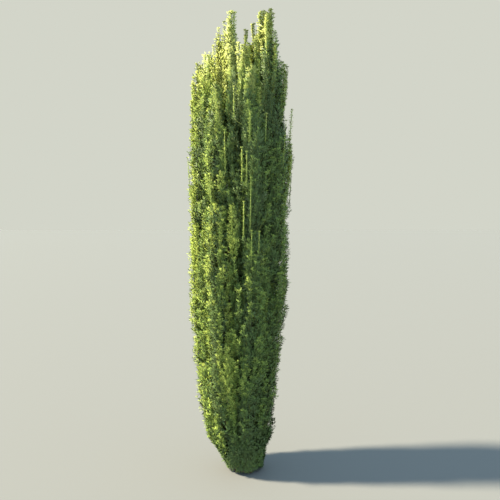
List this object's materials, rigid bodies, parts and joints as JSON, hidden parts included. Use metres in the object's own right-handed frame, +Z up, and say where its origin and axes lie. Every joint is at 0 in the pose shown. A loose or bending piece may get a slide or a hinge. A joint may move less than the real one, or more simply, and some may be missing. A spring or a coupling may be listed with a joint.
{
  "type": "columnar yew",
  "caption": "Tall, narrow evergreen yew: a short forked trunk, steep boughs and upright spires of dense needle foliage that form one column rooted in the ground.",
  "frame": {"origin": "middle of the flat cut under the trunk, at ground level", "axes": "+Z up along the column, -Y towards the side that the picture shows, +X to its right"},
  "size_m": [0.5516, 0.5488, 2.4841],
  "materials": {
    "bark": "rough flaking bark",
    "needles": "soft sheen on the upper side of the needles"
  },
  "bodies": {
    "root": {"bough_crown_back": "bark", "bough_crown_back_right": "bark", "bough_crown_left_side": "bark", "bough_crown_left_tall": "bark", "bough_crown_middle": "bark", "bough_crown_right_tall": "bark", "bough_low_1": "bark", "bough_low_2": "bark", "bough_low_3": "bark", "bough_low_4": "bark", "bough_low_5": "bark", "bough_low_6": "bark", "bough_low_7": "bark", "bough_low_8": "bark", "bough_ring_1": "bark", "bough_ring_2": "bark", "bough_ring_3": "bark", "bough_ring_4": "bark", "bough_ring_5": "bark", "bough_ring_6": "bark", "bough_ring_7": "bark", "bough_ring_8": "bark", "foliage_crown_back": "needles", "foliage_crown_back_right": "needles", "foliage_crown_left_side": "needles", "foliage_crown_left_tall": "needles", "foliage_crown_middle": "needles", "foliage_crown_right_tall": "needles", "foliage_low_1": "needles", "foliage_low_2": "needles", "foliage_low_3": "needles", "foliage_low_4": "needles", "foliage_low_5": "needles", "foliage_low_6": "needles", "foliage_low_7": "needles", "foliage_low_8": "needles", "foliage_ring_1": "needles", "foliage_ring_2": "needles", "foliage_ring_3": "needles", "foliage_ring_4": "needles", "foliage_ring_5": "needles", "foliage_ring_6": "needles", "foliage_ring_7": "needles", "foliage_ring_8": "needles", "trunk": "bark"}
  },
  "joints": []
}
